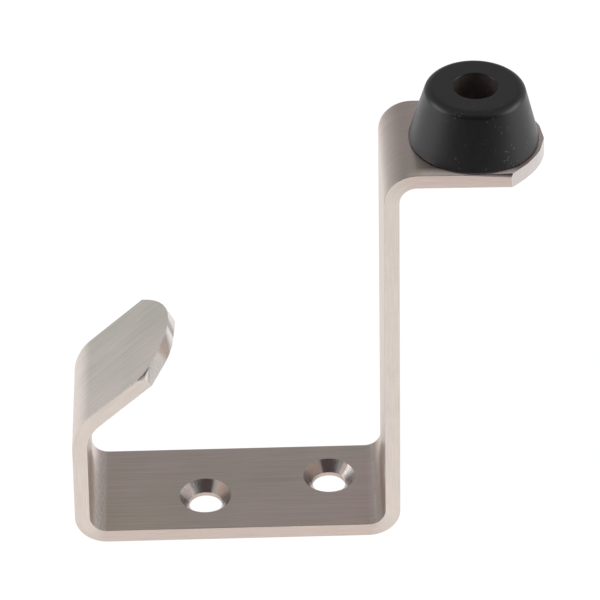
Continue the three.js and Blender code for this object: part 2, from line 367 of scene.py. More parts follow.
def paint_strip(bm, holes, hole_reach, eased_from):
    """
    Gives each face its material and its place on the map.

    The map runs with the bar, MAP_SCALE units to a metre. In a hole it holds the turn from the far side
    in radians, mirrored between the two holes, and the distance from the axis. The strip's back face
    lies one unit further across than its front.
    """
    uv = bm.loops.layers.uv.new("strip")
    middle = sum(hole.x for hole in holes) / len(holes)
    bm.normal_update()
    for face in bm.faces:
        normal = face.normal
        centre = face.calc_center_median()
        hole = next((hole for hole in holes if (centre.xy - hole).length < hole_reach), None)
        if hole is not None and abs(normal.z) < 0.999:
            face.material_index = TURNED if normal.z > 0.2 else HOLE_WALL
            side = math.copysign(1, centre.x - hole.x)
            for loop in face.loops:
                spoke = loop.vert.co.xy - hole
                turn = side * abs(math.atan2(spoke.x, spoke.y))
                loop[uv].uv = (turn * math.copysign(1, hole.x - middle), spoke.length * MAP_SCALE)
            continue
        if abs(normal.z) > 0.75:
            face.material_index = BRUSHED
            axes = (0, 1)
        elif normal.y < -0.6 and normal.z > 0.2 and centre.x > eased_from:
            face.material_index = EASED
            axes = (0, 2)
        elif abs(normal.y) > 0.9:
            face.material_index = GROUND
            axes = (0, 2)
        else:
            face.material_index = FILED
            axes = (2, 1)
        behind = 1 if face.material_index == BRUSHED and normal.z < 0 else 0
        for loop in face.loops:
            u, v = (loop.vert.co[axis] * MAP_SCALE for axis in axes)
            loop[uv].uv = (u, v + behind)


def make_bracket(strip, buffer, fixing, materials):
    low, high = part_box("hook_bracket")
    half_width = (high.y - low.y) / 2
    route = strip_route(strip)
    flange = route.flange
    total = end_of(flange)
    plate_middle = route.plate.begin - route.plate.start.x
    flange_corner = back_face_corners(strip)[-2]
    buffer_place = flange.begin + buffer.offset - (flange.start - flange_corner).length

    bm = bmesh.new()
    bmesh.ops.create_cube(bm, size=1)
    bmesh.ops.scale(bm, vec=(total + 2 * SPARE, 2 * half_width, strip.thickness), verts=bm.verts[:])
    bmesh.ops.translate(bm, vec=(total / 2, 0, strip.thickness / 2), verts=bm.verts[:])
    long_edges = [edge for edge in bm.edges if edge.calc_length() > total / 2]
    round_edges(bm, long_edges, strip.edge_rounding, 4)
    bow_end(bm, -LIP_OUTER_REACH, -1, LIP_BOW, LIP_BOW_MIDDLE, LIP_FLATS)
    bow_end(bm, total, 1, FLANGE_BOW, 0.0, FLANGE_FLATS)
    for points in LIP_CORNER_FACETS:
        file_facet(bm, Vector((0, -half_width, 0)), points, Vector((LIP_INWARD, 0, strip.thickness / 2)))
    file_facet(
        bm, Vector((flange.begin, -half_width, strip.thickness)), FLANGE_EDGE_FACET,
        Vector((flange.begin, 0, strip.thickness / 2)),
    )

    holes = [Vector((plate_middle + hole.x, hole.y)) for hole in PLATE_HOLES]
    cutters = [countersink_cutter(strip, hole.x, hole.y) for hole in holes]
    clearance = turned([
        (0, -SPARE), (fixing.clearance_hole / 2, -SPARE),
        (fixing.clearance_hole / 2, strip.thickness + SPARE), (0, strip.thickness + SPARE),
    ], HOLE_STEPS)
    bmesh.ops.translate(clearance, verts=clearance.verts[:], vec=(buffer_place, 0, 0))
    bm = boolean(bm, cutters + [clearance])

    reach = strip.countersink_diameter / 2 + RIM_MARGIN
    rims = [
        edge for edge in sharp_edges(bm)
        if all(any((v.co.xy - hole).length < reach for hole in holes) for v in edge.verts)
    ]
    round_edges(bm, rims, RIM_ROUNDING, 2)

    for bend in (part for part in route if isinstance(part, Bend)):
        for i in range(strip.bend_cuts + 1):
            place = bend.begin + bend.length * i / strip.bend_cuts
            geometry = bm.verts[:] + bm.edges[:] + bm.faces[:]
            bmesh.ops.bisect_plane(bm, geom=geometry, plane_co=(place, 0, 0), plane_no=(1, 0, 0))

    paint_strip(bm, holes, reach, route.flange_bend.begin)
    for vert in bm.verts:
        vert.co = folded(route, *vert.co)
    piece = finished_object(bm, "hook_bracket_strip", materials)
    flatten_normals(piece)
    return piece


# ---- The buffer and its fixing ------------------------------------------------------------------

SLIVER = 0.0003 * MM


def buffer_frame(strip, buffer):
    """Stands a piece made about Z on the buffer's axis, with Z = 0 at the flange's upper face."""
    corner = back_face_corners(strip)[-2]
    along = heading(-strip.flange_droop)
    foot = corner + along * buffer.offset + left_of(along) * strip.thickness
    return Matrix.Translation((foot.x, 0, foot.y)) @ Matrix.Rotation(strip.flange_droop, 4, "Y")


def placed_piece(bm, scene, name, materials, **options):
    """A finished piece stood on the buffer's axis."""
    place = buffer_frame(scene.hook_strip, scene.hook_buffer)
    bmesh.ops.transform(bm, matrix=place, verts=bm.verts[:])
    bmesh.ops.remove_doubles(bm, dist=SLIVER, verts=bm.verts[:])
    bmesh.ops.dissolve_degenerate(bm, dist=SLIVER, edges=bm.edges[:])
    return finished_object(bm, name, materials, **options)


def make_buffer(scene, materials):
    buffer = scene.hook_buffer
    base, top = buffer.base_diameter / 2, buffer.top_diameter / 2
    bore = buffer.bore_diameter / 2
    shank = scene.hook_fixing.clearance_hole / 2
    bm = turned([
        (shank, buffer.lift),
        (base, buffer.lift),
        (top, buffer.height),
        (bore, buffer.height),
        (bore, buffer.bore_floor),
        (shank, buffer.bore_floor),
    ], 128, closed=True)
    outside = [edge for edge in sharp_edges(bm) if edge_place(edge)[0] > bore + MM]
    crown = [edge for edge in outside if edge_place(edge)[1] > buffer.height - MM]
    foot = [edge for edge in outside if edge_place(edge)[1] < MM]
    mouth = [
        edge for edge in sharp_edges(bm)
        if edge_place(edge)[0] < bore + MM and edge_place(edge)[1] > buffer.height - MM
    ]
    taper = math.atan2(base - top, buffer.height)
    crown_setback = buffer.top_rounding * math.tan((math.pi / 2 - taper) / 2)
    round_edges(bm, crown, crown_setback, 10)
    round_edges(bm, foot, buffer.base_rounding, 4)
    round_edges(bm, mouth, 0.3 * MM, 4)
    for face in bm.faces:
        middle = face.calc_center_median()
        if middle.xy.length < bore + 0.01 * MM and middle.z < buffer.height - 0.4 * MM:
            face.material_index = 1
    piece = placed_piece(bm, scene, "rubber_buffer_body", materials)
    flatten_normals(piece)
    return piece


def fixing_heights(scene):
    """Heights above the flange's upper face: washer underside, head underside, lock washer top, nut top."""
    fixing, strip = scene.hook_fixing, scene.hook_strip
    washer = scene.hook_buffer.bore_floor + fixing.gap
    head = washer + fixing.washer_thickness + fixing.gap
    lock = -strip.thickness - fixing.gap
    nut = lock - fixing.lock_thickness - fixing.gap
    return washer, head, lock, nut


def flat_ring(outer, bore, low, high, rounding, steps=72):
    bm = turned([(bore, low), (outer, low), (outer, high), (bore, high)], steps, closed=True)
    round_edges(bm, sharp_edges(bm), rounding, 2)
    return bm


def make_washer(scene, materials):
    fixing = scene.hook_fixing
    low = fixing_heights(scene)[0]
    high = low + fixing.washer_thickness
    bm = flat_ring(fixing.washer_diameter / 2, fixing.clearance_hole / 2, low, high, 0.08 * MM)
    return placed_piece(bm, scene, "seat_washer_ring", materials)


def threaded_rod(radius, depth, pitch, low, high, tip):
    """A closed rod about Z with a helical thread; its lower end is chamfered by the tip's length."""
    rows_per_turn, steps = 10, 40
    rows = round((high - low) / pitch * rows_per_turn)
    heights = [low + (high - low) * i / rows for i in range(rows + 1)]
    bm = turned([(0, low), *[(radius, height) for height in heights], (0, high)], steps)
    for vert in bm.verts:
        if vert.co.xy.length < radius / 2:
            continue
        turn = math.atan2(vert.co.y, vert.co.x) / math.tau
        phase = (vert.co.z / pitch - turn) % 1
        groove = 1 - abs(2 * phase - 1)
        groove = min(1, max(0, 1.5 * groove - 0.2))
        fade_in = min(1, (high - vert.co.z) / pitch)
        wanted = radius - depth * groove * fade_in
        wanted = min(wanted, radius - max(0, tip - (vert.co.z - low)))
        vert.co.xy *= wanted / vert.co.xy.length
    return bm


def make_screw(scene, materials):
    fixing = scene.hook_fixing
    underside = fixing_heights(scene)[1]
    head, top = fixing.head_diameter / 2, underside + fixing.head_height
    rod = fixing.screw_diameter / 2
    dome = [
        (head * math.cos(a) ** 0.45, underside + fixing.head_height * (0.45 + 0.55 * math.sin(a)))
        for a in (math.radians(15 * i) for i in range(6))
    ]
    neck = underside - 0.4 * MM
    bm = turned([(0, neck), (rod, neck), (rod, underside), (head, underside), *dome, (0, top)], 96)
    slot = bmesh.new()
    bmesh.ops.create_cube(slot, size=1)
    bmesh.ops.scale(slot, vec=(3 * head, fixing.slot_width, 2 * fixing.slot_depth), verts=slot.verts[:])
    bmesh.ops.translate(slot, vec=(0, 0, top), verts=slot.verts[:])
    thread = threaded_rod(
        rod, 0.38 * MM, fixing.pitch, underside - fixing.screw_length, underside - 0.2 * MM, 0.6 * MM
    )
    bm = boolean(bm, [slot])
    bm = boolean(bm, [thread], "UNION")
    return placed_piece(bm, scene, "fixing_screw_turned", materials)


def make_lock_washer(scene, materials):
    """A split ring: a square section spun short of a full turn, its ends a little out of step."""
    fixing = scene.hook_fixing
    high = fixing_heights(scene)[2]
    low = high - fixing.lock_thickness
    outer, bore = fixing.lock_diameter / 2, fixing.clearance_hole / 2
    split = 2 * math.asin(0.4 * MM / outer)
    climb = 0.12 * MM
    top = high - climb
    bm = bmesh.new()
    section = [(bore, low), (outer, low), (outer, top), (bore, top)]
    face = bm.faces.new([bm.verts.new((radius, 0, height)) for radius, height in section])
    steps = 60
    bmesh.ops.spin(
        bm, geom=[face], cent=(0, 0, 0), axis=(0, 0, 1), dvec=(0, 0, climb / steps),
        angle=math.tau - split, steps=steps,
    )
    bmesh.ops.recalc_face_normals(bm, faces=bm.faces[:])
    bmesh.ops.rotate(bm, verts=bm.verts[:], cent=(0, 0, 0), matrix=Matrix.Rotation(split / 2, 3, "Z"))
    round_edges(bm, sharp_edges(bm), RIM_ROUNDING, 2)
    return placed_piece(bm, scene, "lock_washer_ring", materials)


def make_nut(scene, materials):
    fixing = scene.hook_fixing
    top = fixing_heights(scene)[3]
    low = top - fixing.nut_height
    facing = fixing.nut_across_flats / 2
    corner = facing / math.cos(math.pi / 6)
    bm = bmesh.new()
    bmesh.ops.create_cone(
        bm, cap_ends=True, segments=6, radius1=corner, radius2=corner, depth=fixing.nut_height
    )
    bmesh.ops.translate(bm, vec=(0, 0, (low + top) / 2), verts=bm.verts[:])
    chamfer = 0.45 * MM
    envelope = turned([
        (0, low), (facing, low), (facing + 2 * chamfer, low + chamfer),
        (facing + 2 * chamfer, top - chamfer), (facing, top), (0, top),
    ], 96)
    bm = boolean(bm, [envelope], "INTERSECT")
    bore = fixing.clearance_hole / 2
    flare = 0.35 * MM
    hole = turned([
        (0, low - flare), (bore + 2 * flare, low - flare), (bore, low + flare),
        (bore, top - flare), (bore + 2 * flare, top + flare), (0, top + flare),
    ], 96)
    bm = boolean(bm, [hole])
    return placed_piece(bm, scene, "hex_nut_body", materials)


# ---- Materials ----------------------------------------------------------------------------------

class Nodes:
    """Builds one material's node tree, a node or a link at a time."""

    def __init__(self, name):
        self.material = bpy.data.materials.new(name)
        self.material.use_nodes = True
        self.tree = self.material.node_tree
        self.shader = self.tree.nodes["Principled BSDF"]

    def add(self, kind, inputs=None, **settings):
        node = self.tree.nodes.new("ShaderNode" + kind)
        for key, value in settings.items():
            setattr(node, key, value)
        for key, value in (inputs or {}).items():
            if isinstance(value, bpy.types.NodeSocket):
                self.tree.links.new(value, node.inputs[key])
            else:
                node.inputs[key].default_value = value
        return node

    def plug(self, socket, name):
        self.tree.links.new(socket, self.shader.inputs[name])

    def set(self, **values):
        for key, value in values.items():
            self.shader.inputs[key.replace("_", " ")].default_value = value

    def ramp(self, factor, stops):
        node = self.add("ValToRGB", {"Fac": factor})
        elements = node.color_ramp.elements
        while len(elements) < len(stops):
            elements.new(0.5)
        for element, (place, value) in zip(elements, stops):
            element.position = place
            element.color = (*value, 1) if isinstance(value, tuple) else (value, value, value, 1)
        return node.outputs["Color"]

    def spread(self, factor, low, high):
        """A 0 to 1 signal as a value between low and high."""
        node = self.add("MapRange", {"Value": factor, "To Min": low, "To Max": high})
        return node.outputs["Result"]

    def math(self, operation, one, other):
        """A value worked out from two others."""
        return self.add("Math", {0: one, 1: other}, operation=operation).outputs["Value"]

    def multiply(self, one, other):
        """Two colours multiplied."""
        node = self.add("Mix", {0: 1.0, 6: one, 7: other}, data_type="RGBA", blend_type="MULTIPLY")
        return node.outputs[2]

    def mix(self, factor, one, other):
        """One colour turned into the other by a factor."""
        return self.add("Mix", {0: factor, 6: one, 7: other}, data_type="RGBA").outputs[2]

    def span(self, value, low, high):
        """A value's place between low and high, held between 0 and 1."""
        return self.add("MapRange", {"Value": value, "From Min": low, "From Max": high}).outputs["Result"]

    def band_of(self, value, low, high, blur):
        """1 between two values and 0 beyond them, with a soft edge."""
        return self.math("MULTIPLY", self.span(value, low - blur, low), self.span(value, high + blur, high))

    def band(self, along, low, high, blur):
        """1 between two places along the bar, in metres, and 0 beyond them."""
        return self.band_of(along, low * MAP_SCALE, high * MAP_SCALE, blur * MAP_SCALE)

    def strip_map(self):
        """Places along and across the bar on the strip's map; in a hole, the turn and the radius."""
        uv = self.add("UVMap", uv_map="strip").outputs["UV"]
        parts = self.add("SeparateXYZ", {0: uv}).outputs
        return parts["X"], parts["Y"]

    def object_place(self):
        return self.add("TexCoord").outputs["Object"]

    def noise(self, vector, scale, detail):
        return self.add("TexNoise", {"Vector": vector, "Scale": scale, "Detail": detail}).outputs["Fac"]

    def bump(self, height, strength, distance):
        node = self.add("Bump", {"Height": height, "Strength": strength, "Distance": distance})
        self.plug(node.outputs["Normal"], "Normal")

    def streaks(self, along, across, detail):
        """Noise drawn out along the bar; the scales are per unit of the strip's map."""
        uv = self.add("UVMap", uv_map="strip").outputs["UV"]
        drawn = self.add("Mapping", {"Vector": uv, "Scale": (along, across, 1)}).outputs["Vector"]
        noise = self.add("TexNoise", {"Vector": drawn, "Scale": 1, "Detail": detail, "Roughness": 0.65})
        return noise.outputs["Fac"]


def tint(base, factor):
    return tuple(min(1.0, channel * factor) for channel in base)


WHITE = (1.0, 1.0, 1.0)
BURNISH_AND_HIGHLIGHT = (0.98, 0.90, 0.85, 1)
SHADED = (0.33, 0.27, 0.24, 1)
RIM_GLEAM = (1.0, 0.87, 0.82, 1)
BEND_SHADE = (0.05, 0.07, 0.08, 1)
FILED_PAINTED_SHADE = (0.33, 0.28, 0.27, 1)
PAINTED_SPARKLE = (0.16, 0.15, 0.15, 1)

# Painted reflections round each countersink, and painted light and shade round its straight wall, against the
# turn from the far side: the stops run from TURN_LOW to TURN_HIGH radians
TURN_LOW, TURN_HIGH = -2.0, 2.0
COUNTERSINK_PAINTED_REFLECTIONS = [
    (0.00, (0.54, 0.50, 0.48)), (0.12, (0.58, 0.54, 0.52)), (0.17, (0.60, 0.54, 0.51)),
    (0.32, (0.80, 0.73, 0.67)), (0.405, (0.95, 0.90, 0.86)), (0.43, (0.40, 0.29, 0.29)),
    (0.55, (0.42, 0.31, 0.31)), (0.61, (0.98, 0.94, 0.92)), (0.69, (0.90, 0.83, 0.82)),
    (0.78, (0.97, 0.90, 0.90)), (0.82, (1.0, 0.98, 0.98)), (0.845, WHITE),
    (0.865, (0.60, 0.57, 0.55)), (1.0, (0.54, 0.50, 0.48)),
]
HOLE_WALL_PAINTED_LIGHT = [
    (0.0, (0.30, 0.27, 0.25)), (0.22, (0.34, 0.30, 0.27)), (0.36, (0.56, 0.46, 0.41)),
    (0.62, (0.58, 0.46, 0.42)), (0.78, (0.40, 0.35, 0.33)), (1.0, (0.30, 0.27, 0.25)),
]


def brushing(nodes, base, fine, cloud):
    """The brushed bar's own colour: fine lines, broad streaks and faint clouds."""
    fine_tone = nodes.ramp(fine, [(0.25, tint(base, 0.78)), (0.75, tint(base, 1.22))])
    broad = nodes.streaks(2.5, 160, 3)
    broad_tone = nodes.ramp(broad, [(0.3, (0.92, 0.925, 0.92)), (0.7, (1.05, 1.035, 1.03))])
    cloud_tone = nodes.ramp(cloud, [(0.35, (0.94, 0.97, 0.94)), (0.65, (1.04, 1.01, 1.04))])
    return nodes.multiply(nodes.multiply(fine_tone, broad_tone), cloud_tone)


def lip_and_flange_tone(nodes, tone, along, route):
    """A painted cooler reflection on the lip, and painted shade inside the flange's bend."""
    past_bend = nodes.span(along, route.lip_bend.begin * MAP_SCALE, end_of(route.lip_bend) * MAP_SCALE)
    tone = nodes.multiply(tone, nodes.ramp(past_bend, [(0.0, (1.0, 1.07, 1.09)), (1.0, WHITE)]))
    in_bend = nodes.band(along, route.flange_bend.begin + 2 * MM, route.flange.begin - 2 * MM, 2.5 * MM)
    return nodes.mix(nodes.spread(in_bend, 0.0, 0.15), tone, BEND_SHADE)


def press_marks(nodes, along, in_front, bend):
    """Spots that the press left in the bend under the hook."""
    in_bend = nodes.band(along, bend.begin + 1.2 * MM, end_of(bend) - 0.9 * MM, 0.7 * MM)
    in_bend = nodes.math("MULTIPLY", in_bend, in_front)
    spots = nodes.ramp(nodes.streaks(560, 60, 3), [(0.42, 0.12), (0.64, 0.85)])
    return nodes.math("MULTIPLY", spots, in_bend)


def bend_highlight_and_shade(nodes, along, in_front, bend):
    """A painted highlight line across the bend under the arm, broken by streaks, and a band of painted shade
    beside it.
    """
    highlight_line = nodes.band(along, bend.begin + 2.35 * MM, bend.begin + 2.5 * MM, 0.45 * MM)
    streaking = nodes.ramp(nodes.streaks(60, 30, 2), [(0.35, 0.0), (0.65, 0.45)])
    highlight_line = nodes.math("MULTIPLY", nodes.math("MULTIPLY", highlight_line, streaking), in_front)
    shade_band = nodes.band(along, bend.begin + 3.3 * MM, bend.begin + 5.2 * MM, 1.2 * MM)
    return highlight_line, nodes.math("MULTIPLY", shade_band, in_front)


def steel_brushed(colours, route):
    """Fine linear brushing that follows the strip, with press marks in the bend under the hook, a painted
    highlight line and painted shade in the bend under the arm, and a painted gleam along the flange's near
    rim.
    """
    nodes = Nodes("steel_brushed")
    fine = nodes.streaks(6, 1300, 4)
    cloud = nodes.noise(nodes.object_place(), 60, 2)
    along, across = nodes.strip_map()
    tone = brushing(nodes, tuple(colours.steel), fine, cloud)
    tone = lip_and_flange_tone(nodes, tone, along, route)

    in_front = nodes.span(across, 0.6, 0.4)
    marks = press_marks(nodes, along, in_front, route.hook_bend)
    highlight_line, shade_band = bend_highlight_and_shade(nodes, along, in_front, route.arm_bend)
    # Bright press marks and a painted highlight line, then painted shade in a band beside the line
    tone = nodes.mix(nodes.math("MAXIMUM", marks, highlight_line), tone, BURNISH_AND_HIGHLIGHT)
    tone = nodes.mix(nodes.spread(shade_band, 0.0, 0.30), tone, SHADED)

    # Painted highlight along the flange's near upper edge
    on_flange = nodes.band(along, route.flange.begin + 1 * MM, end_of(route.flange), 3 * MM)
    at_edge = nodes.ramp(nodes.span(across, -0.118, -0.100), [(0.0, 1.0), (1.0, 0.0)])
    near_rim = nodes.math("MULTIPLY", on_flange, at_edge)
    nodes.plug(nodes.mix(near_rim, tone, RIM_GLEAM), "Base Color")
    satin, rough_rim = nodes.spread(cloud, 0.36, 0.46), nodes.spread(near_rim, 0.0, 0.3)
    nodes.plug(nodes.math("ADD", satin, rough_rim), "Roughness")
    nodes.plug(nodes.spread(near_rim, 1.0, 0.35), "Metallic")
    nodes.bump(nodes.math("ADD", fine, marks), 0.12, 0.02 * MM)
    nodes.plug(nodes.add("CombineXYZ", {"Y": 1.0}).outputs["Vector"], "Tangent")
    nodes.set(Anisotropic=0.5)
    return nodes.material


def steel_ground(colours, route):
    """Narrow sides: a paler finish with faint grinding lines along the bar."""
    nodes = Nodes("steel_ground")
    grain = nodes.streaks(15, 500, 4)
    cloud = nodes.noise(nodes.object_place(), 250, 3)
    base = tuple(colours.steel_edge)
    tone = nodes.ramp(grain, [(0.3, tint(base, 0.90)), (0.7, tint(base, 1.08))])
    tone = nodes.multiply(tone, nodes.ramp(cloud, [(0.35, 0.95), (0.65, 1.0)]))
    along = nodes.strip_map()[0]
    # Painted shade on the narrow sides of the plate and of the flange
    for leg, shade in ((route.plate, (0.92, 0.865, 0.86)), (route.flange, (1.0, 0.92, 0.93))):
        on_leg = nodes.band(along, leg.begin, end_of(leg), 4 * MM)
        tone = nodes.multiply(tone, nodes.ramp(on_leg, [(0.0, WHITE), (1.0, shade)]))
    nodes.plug(tone, "Base Color")
    nodes.plug(nodes.spread(cloud, 0.28, 0.42), "Roughness")
    nodes.bump(grain, 0.2, 0.03 * MM)
    tangent = nodes.add("Tangent", direction_type="UV_MAP", uv_map="strip").outputs["Tangent"]
    nodes.plug(tangent, "Tangent")
    nodes.set(Metallic=1.0, Anisotropic=0.5, Anisotropic_Rotation=0.25)
    return nodes.material


def steel_filed(colours):
    """Hand-filed ends and corners: brighter, with faint marks across the bar, patches of painted shade across
    the lip's end, and painted shade over the flange's filed end.
    """
    nodes = Nodes("steel_filed")
    marks = nodes.streaks(40, 260, 3)
    base = tuple(colours.bright_steel)
    tone = nodes.ramp(marks, [(0.3, tint(base, 0.96)), (0.7, tint(base, 1.05))])
    place = nodes.add("SeparateXYZ", {0: nodes.object_place()}).outputs
    on_lip = nodes.ramp(nodes.span(place["X"], -1 * MM, 1 * MM), [(0.0, 1.0), (1.0, 0.0)])
    painted_shade_patches = nodes.ramp(nodes.span(place["Y"], -8 * MM, 1 * MM), [
        (0.0, 0.0), (0.17, 0.12), (0.30, 0.30), (0.44, 0.0),
        (0.56, 0.0), (0.66, 1.0), (0.78, 0.8), (0.9, 0.1),
    ])
    # Painted shade in patches across the lip's end, and painted shade over the flange's filed end
    tone = nodes.mix(nodes.math("MULTIPLY", painted_shade_patches, on_lip), tone, FILED_PAINTED_SHADE)
    tone = nodes.multiply(tone, nodes.ramp(on_lip, [(0.0, (0.86, 0.83, 0.84)), (1.0, WHITE)]))
    nodes.plug(tone, "Base Color")
    nodes.plug(nodes.spread(marks, 0.20, 0.30), "Roughness")
    nodes.bump(marks, 0.12, 0.04 * MM)
    nodes.set(Metallic=1.0)
    return nodes.material


def steel_turned():
    """Bright turned steel of the countersinks: rings from the tool, crossed by chatter, under painted
    reflections that change round the hole, with painted sparkle as dark specks in one sector.
    """
    nodes = Nodes("steel_turned")
    rings = nodes.streaks(1, 6000, 2)
    chatter = nodes.streaks(9, 60, 3)
    sparkle_specks = nodes.ramp(nodes.streaks(22, 2500, 2), [(0.46, 0.0), (0.54, 1.0)])
    turn = nodes.strip_map()[0]
    # Painted reflections: the colour changes with the turn round the hole
    painted_reflection = nodes.ramp(nodes.span(turn, TURN_LOW, TURN_HIGH), COUNTERSINK_PAINTED_REFLECTIONS)
    tone = nodes.multiply(nodes.ramp(chatter, [(0.35, 0.82), (0.65, 1.0)]), painted_reflection)
    # Painted sparkle: dark specks in one sector of the painted reflections
    spark = nodes.math("MULTIPLY", nodes.band_of(turn, 0.30, 0.62, 0.10), sparkle_specks)
    nodes.plug(nodes.mix(spark, tone, PAINTED_SPARKLE), "Base Color")
    nodes.plug(nodes.spread(nodes.band_of(turn, -0.16, 0.22, 0.10), 0.20, 0.30), "Roughness")
    nodes.bump(nodes.math("ADD", rings, chatter), 0.5, 0.04 * MM)
    nodes.set(Metallic=1.0)
    return nodes.material


def steel_hole_wall():
    """The short straight wall under each countersink: brownish, with painted light and shade round the hole,
    brightest on the far side and plain on the near side.
    """
    nodes = Nodes("steel_hole_wall")
    turn = nodes.strip_map()[0]
    nodes.plug(nodes.ramp(nodes.span(turn, TURN_LOW, TURN_HIGH), HOLE_WALL_PAINTED_LIGHT), "Base Color")
    nodes.set(Metallic=1.0, Roughness=0.38)
    return nodes.material


def steel_eased():
    """The eased and filed edge along the flange's near side, with painted shade that makes it darker than its
    neighbours.
    """
    nodes = Nodes("steel_eased")
    streaking = nodes.streaks(30, 200, 2)
    nodes.plug(nodes.ramp(streaking, [(0.35, (0.26, 0.215, 0.205)), (0.65, (0.36, 0.31, 0.295))]), "Base Color")
    nodes.set(Metallic=1.0, Roughness=0.35)
    return nodes.material


def steel_plated(colours):
    """Bright fasteners, a little mottled."""
    nodes = Nodes("steel_plated")
    mottle = nodes.noise(nodes.object_place(), 700, 3)
    base = tuple(colours.bright_steel)
    nodes.plug(nodes.ramp(mottle, [(0.35, tint(base, 0.9)), (0.65, base)]), "Base Color")
    nodes.plug(nodes.spread(mottle, 0.18, 0.34), "Roughness")
    nodes.set(Metallic=1.0)
    return nodes.material


def dust(nodes, place):
    """1 on the few dust specks of the buffer's near side, and 0 elsewhere."""
    parts = nodes.add("SeparateXYZ", {0: place}).outputs
    specks = nodes.add("TexVoronoi", {"Vector": place, "Scale": 1300, "Randomness": 1.0})
    dot = nodes.ramp(specks.outputs["Distance"], [(0.18, 1.0), (0.30, 0.0)])
    where = nodes.ramp(nodes.noise(place, 330, 1), [(0.54, 0.0), (0.62, 1.0)])
    near_side = nodes.ramp(nodes.span(parts["Y"], -13.5 * MM, -5 * MM), [(0.0, 1.0), (0.75, 0.8), (1.0, 0.0)])
    middle = nodes.band_of(parts["X"], 43.5 * MM, 56 * MM, 3 * MM)
    return nodes.multiply(nodes.multiply(dot, where), nodes.multiply(near_side, middle))


def rubber_black(colours):
    """Moulded black rubber, satin, with a little dust on its near side."""
    nodes = Nodes("rubber_black")
    place = nodes.object_place()
    dusty = [(0.0, tuple(colours.rubber)), (1.0, (0.11, 0.10, 0.096))]
    nodes.plug(nodes.ramp(dust(nodes, place), dusty), "Base Color")
    skin = nodes.noise(place, 900, 3)
    nodes.plug(nodes.spread(skin, 0.30, 0.42), "Roughness")
    nodes.bump(skin, 0.12, 0.05 * MM)
    nodes.set(Specular_IOR_Level=0.74, Specular_Tint=(1.0, 0.96, 1.0, 1.0))
    return nodes.material


def rubber_bore():
    """The buffer's bore, where brown dust has settled."""
    nodes = Nodes("rubber_bore")
    settled = nodes.noise(nodes.object_place(), 500, 3)
    browns = [(0.35, (0.085, 0.062, 0.054)), (0.65, (0.125, 0.092, 0.082))]
    nodes.plug(nodes.ramp(settled, browns), "Base Color")
    nodes.set(Roughness=0.7, Specular_IOR_Level=0.4)
    return nodes.material


# ---- Stage --------------------------------------------------------------------------------------

CAMERA_AIM = Vector((13.438, 3.651, 48.232)) * MM
CAMERA_AZIMUTH = math.radians(-1.0596)
CAMERA_ELEVATION = math.radians(37.6889)
CAMERA_ROLL = math.radians(-0.7481)
CAMERA_DISTANCE = 752.63 * MM
CAMERA_LENS = 227.64

# Brightness of the pale floor's light against distance from the object, in metres
FLOOR_GLOW = [(0.0, 1.0), (0.20, 1.0), (0.26, 0.84), (0.40, 0.68), (0.75, 0.52), (1.5, 0.45)]
# Brightness of the surroundings against the sine of the elevation, behind and in front of the object
BACK_GLOW = [(0.0, 0.50), (0.12, 0.46), (0.33, 0.40), (0.48, 0.35), (0.56, 0.33), (0.75, 0.32), (1.0, 0.34)]
SIDE_GLOW = [(0.0, 0.50), (0.30, 0.60), (0.60, 0.50), (0.85, 0.38), (1.0, 0.34)]
FRONT_GLOW = [(0.0, 0.05), (0.15, 0.06), (0.40, 0.10), (0.80, 0.14), (1.0, 0.34)]
# Where the surroundings turn from front to side, and from side to behind, along Y
SIDE_ZONE = (-0.62, -0.46)
BACK_ZONE = (0.15, 0.60)
# How the floor's light fades in front of the object, against Y in metres
FLOOR_FRONT = [(-0.50, 0.05), (-0.20, 1.0)]
FLOOR_RADIUS = 3

SOFTBOX_SIZE = (0.42, 0.36)
SOFTBOX_PLACES = {"softbox_left": (-0.62, -0.02, 0.24), "softbox_right": (0.62, -0.02, 0.24)}
SOFTBOX_RADIANCE = 1.7
SOFTBOX_AIM = Vector((0.01, 0, 0.05))


def make_camera():
    data = bpy.data.cameras.new("camera")
    data.lens = CAMERA_LENS
    data.sensor_width = 36
    data.clip_start, data.clip_end = 0.01, 20
    camera = bpy.data.objects.new("camera", data)
    bpy.context.scene.collection.objects.link(camera)
    turn = (
        Matrix.Rotation(CAMERA_AZIMUTH, 4, "Z")
        @ Matrix.Rotation(math.pi / 2 - CAMERA_ELEVATION, 4, "X")
        @ Matrix.Rotation(CAMERA_ROLL, 4, "Z")
    )
    back = turn @ Vector((0, 0, 1))
    camera.matrix_world = Matrix.Translation(CAMERA_AIM + back * CAMERA_DISTANCE) @ turn
    bpy.context.scene.camera = camera


def glow_ramp(tree, socket, stops):
    """A grey ramp through (value, brightness) stops, whatever the range of the values."""
    low, high = stops[0][0], stops[-1][0]
    span = tree.nodes.new("ShaderNodeMapRange")
    span.inputs["From Min"].default_value = low
    span.inputs["From Max"].default_value = high
    tree.links.new(socket, span.inputs["Value"])
    ramp = tree.nodes.new("ShaderNodeValToRGB")
    tree.links.new(span.outputs["Result"], ramp.inputs["Fac"])
    elements = ramp.color_ramp.elements
    while len(elements) < len(stops):
        elements.new(0.5)
    for element, (value, brightness) in zip(elements, stops):
        element.position = (value - low) / (high - low)
        element.color = (brightness, brightness, brightness, 1)
    return ramp.outputs["Color"]


def mix_node(tree, one, other=None):
    """A node that mixes two colours, the second one linked here or set later."""
    node = tree.nodes.new("ShaderNodeMix")
    node.data_type = "RGBA"
    tree.links.new(one, node.inputs[6])
    if other is not None:
        tree.links.new(other, node.inputs[7])
    return node


def plain_to_camera(tree, glow):
    """Light for the object to reflect, seen directly as a plain white."""
    plain = mix_node(tree, glow)
    tree.links.new(tree.nodes.new("ShaderNodeLightPath").outputs["Is Camera Ray"], plain.inputs[0])
    plain.inputs[7].default_value = (1, 1, 1, 1)
    return plain.outputs[2]


